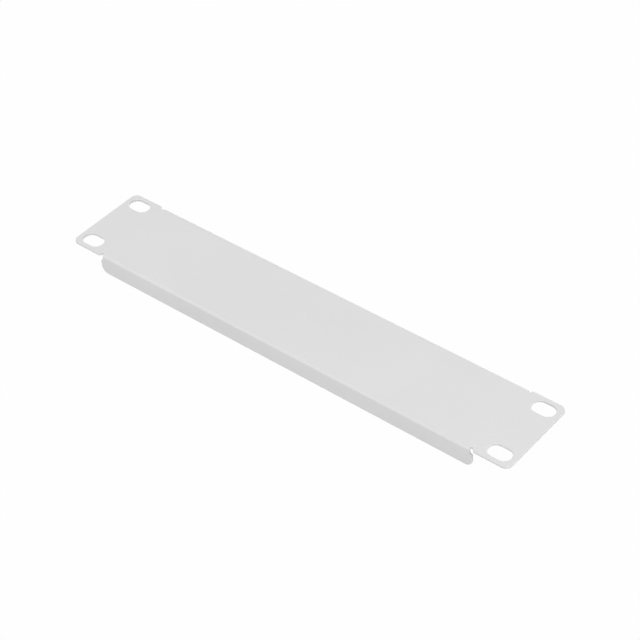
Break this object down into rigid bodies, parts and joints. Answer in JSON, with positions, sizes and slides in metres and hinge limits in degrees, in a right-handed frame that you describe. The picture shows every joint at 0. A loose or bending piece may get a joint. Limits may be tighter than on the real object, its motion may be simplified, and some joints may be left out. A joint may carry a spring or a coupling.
{
  "type": "rack blanking panel",
  "caption": "Flat blanking panel of folded sheet steel for a ten-inch rack, with a slotted ear at each end and a flange folded back along each long edge.",
  "frame": {"origin": "on the surface the panel lies on, under the middle of the front face", "axes": "+X along the panel from ear to ear, +Y up the rack when mounted, +Z out of the front face"},
  "size_m": [0.253, 0.0438, 0.0104],
  "materials": {
    "powder_coat": "satin light grey powder coat, finely textured"
  },
  "bodies": {
    "root": {"folded_panel": "powder_coat"}
  },
  "joints": []
}
